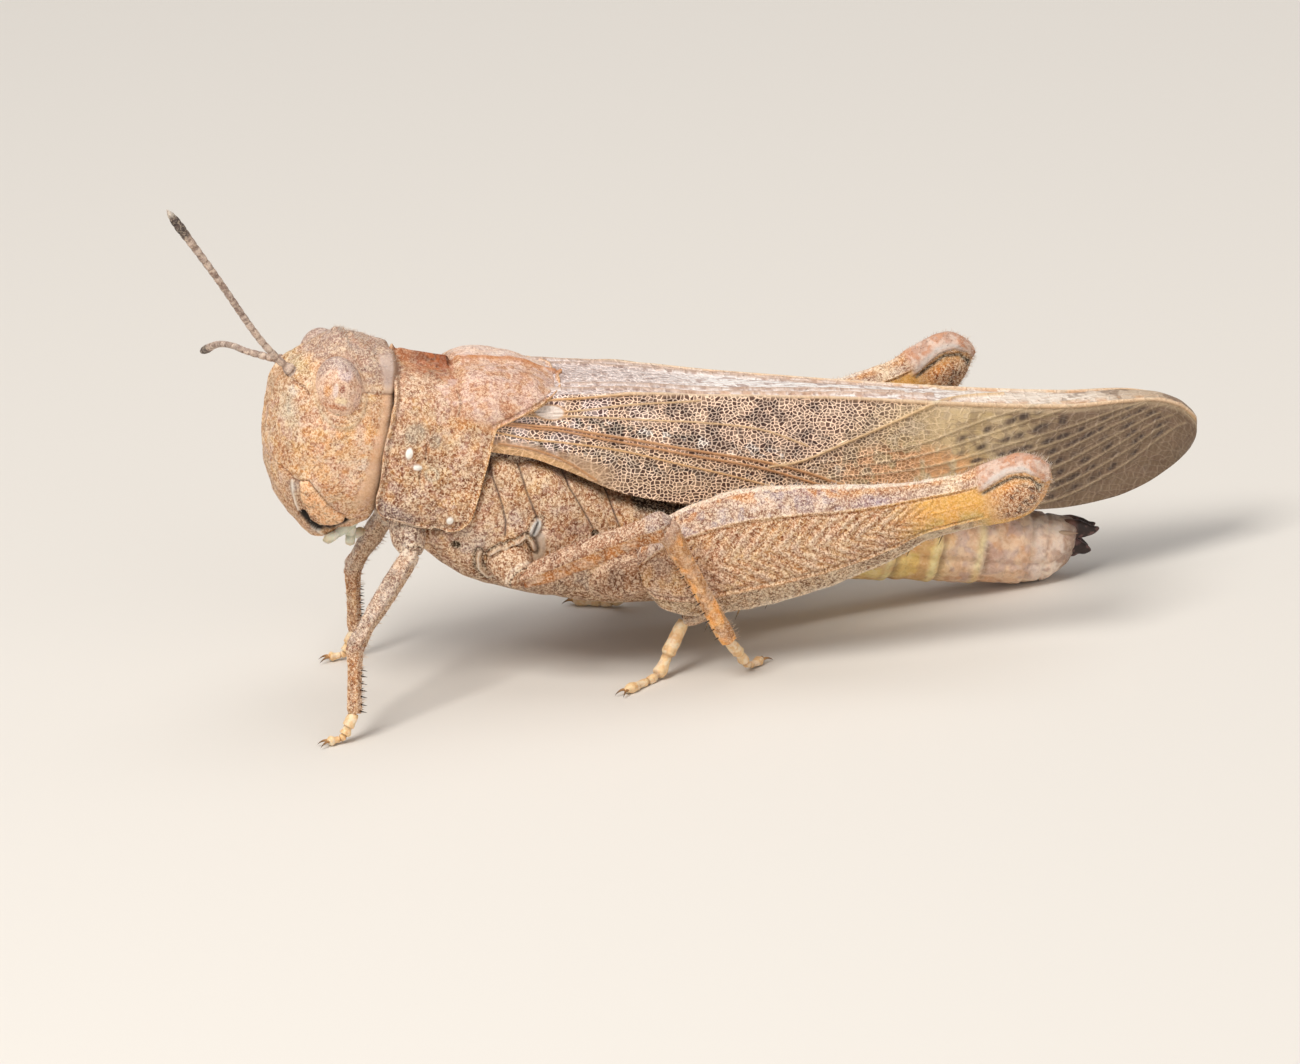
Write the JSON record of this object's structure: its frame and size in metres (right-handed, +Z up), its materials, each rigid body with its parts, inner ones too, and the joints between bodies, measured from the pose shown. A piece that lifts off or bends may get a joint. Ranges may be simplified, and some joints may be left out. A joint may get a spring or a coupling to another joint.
{
  "type": "band-winged grasshopper",
  "caption": "Adult female band-winged grasshopper at rest, its wings folded like a roof, its hind legs tucked beside the body and one feeler raised.",
  "frame": {"origin": "centre of the model's footprint, on the floor that the feet and the tip of the belly rest on", "axes": "+Z up, the head toward -Y and the wing tips toward +Y, the animal's left side toward +X"},
  "size_m": [0.0146, 0.0346, 0.0188],
  "materials": {
    "cuticle": "granular orange-brown cuticle with fine pale and dark specks",
    "belly": "tan cuticle with paler yellowish rings",
    "forewing": "leathery pinkish-tan wing, netted with veins and flecked with dark brown",
    "hindwing": "thin pleated membrane, dull with a slight sheen",
    "eye": "smooth pinkish-grey compound eye with brown upright stripes",
    "dark_horn": "hard blackish-brown horn",
    "foot": "pale straw-yellow cuticle with black claw tips"
  },
  "bodies": {
    "root": {"head": "cuticle", "labrum": "cuticle", "labium": "cuticle", "antenna_left": "cuticle", "antenna_right": "cuticle", "pronotum": "cuticle", "thorax": "cuticle", "abdomen": "belly", "ovipositor_upper": "dark_horn", "ovipositor_lower": "dark_horn", "eye_left": "eye", "eye_right": "eye", "mandible_left": "cuticle", "mandible_right": "cuticle", "tegmen_left": "forewing", "tegmen_right": "forewing", "hindwing_left": "hindwing", "hindwing_right": "hindwing", "foreleg_coxa_left": "cuticle", "foreleg_coxa_right": "cuticle", "foreleg_femur_left": "cuticle", "foreleg_femur_right": "cuticle", "foreleg_tibia_left": "cuticle", "foreleg_tibia_right": "cuticle", "foreleg_tarsus_left": "foot", "foreleg_tarsus_right": "foot", "midleg_coxa_left": "cuticle", "midleg_coxa_right": "cuticle", "midleg_femur_left": "cuticle", "midleg_femur_right": "cuticle", "midleg_tibia_left": "cuticle", "midleg_tibia_right": "cuticle", "midleg_tarsus_left": "foot", "midleg_tarsus_right": "foot", "hindleg_coxa_left": "cuticle", "hindleg_coxa_right": "cuticle", "hindleg_femur_left": "cuticle", "hindleg_femur_right": "cuticle", "hindleg_tibia_left": "cuticle", "hindleg_tibia_right": "cuticle", "hindleg_tarsus_left": "foot", "hindleg_tarsus_right": "foot"}
  },
  "joints": []
}
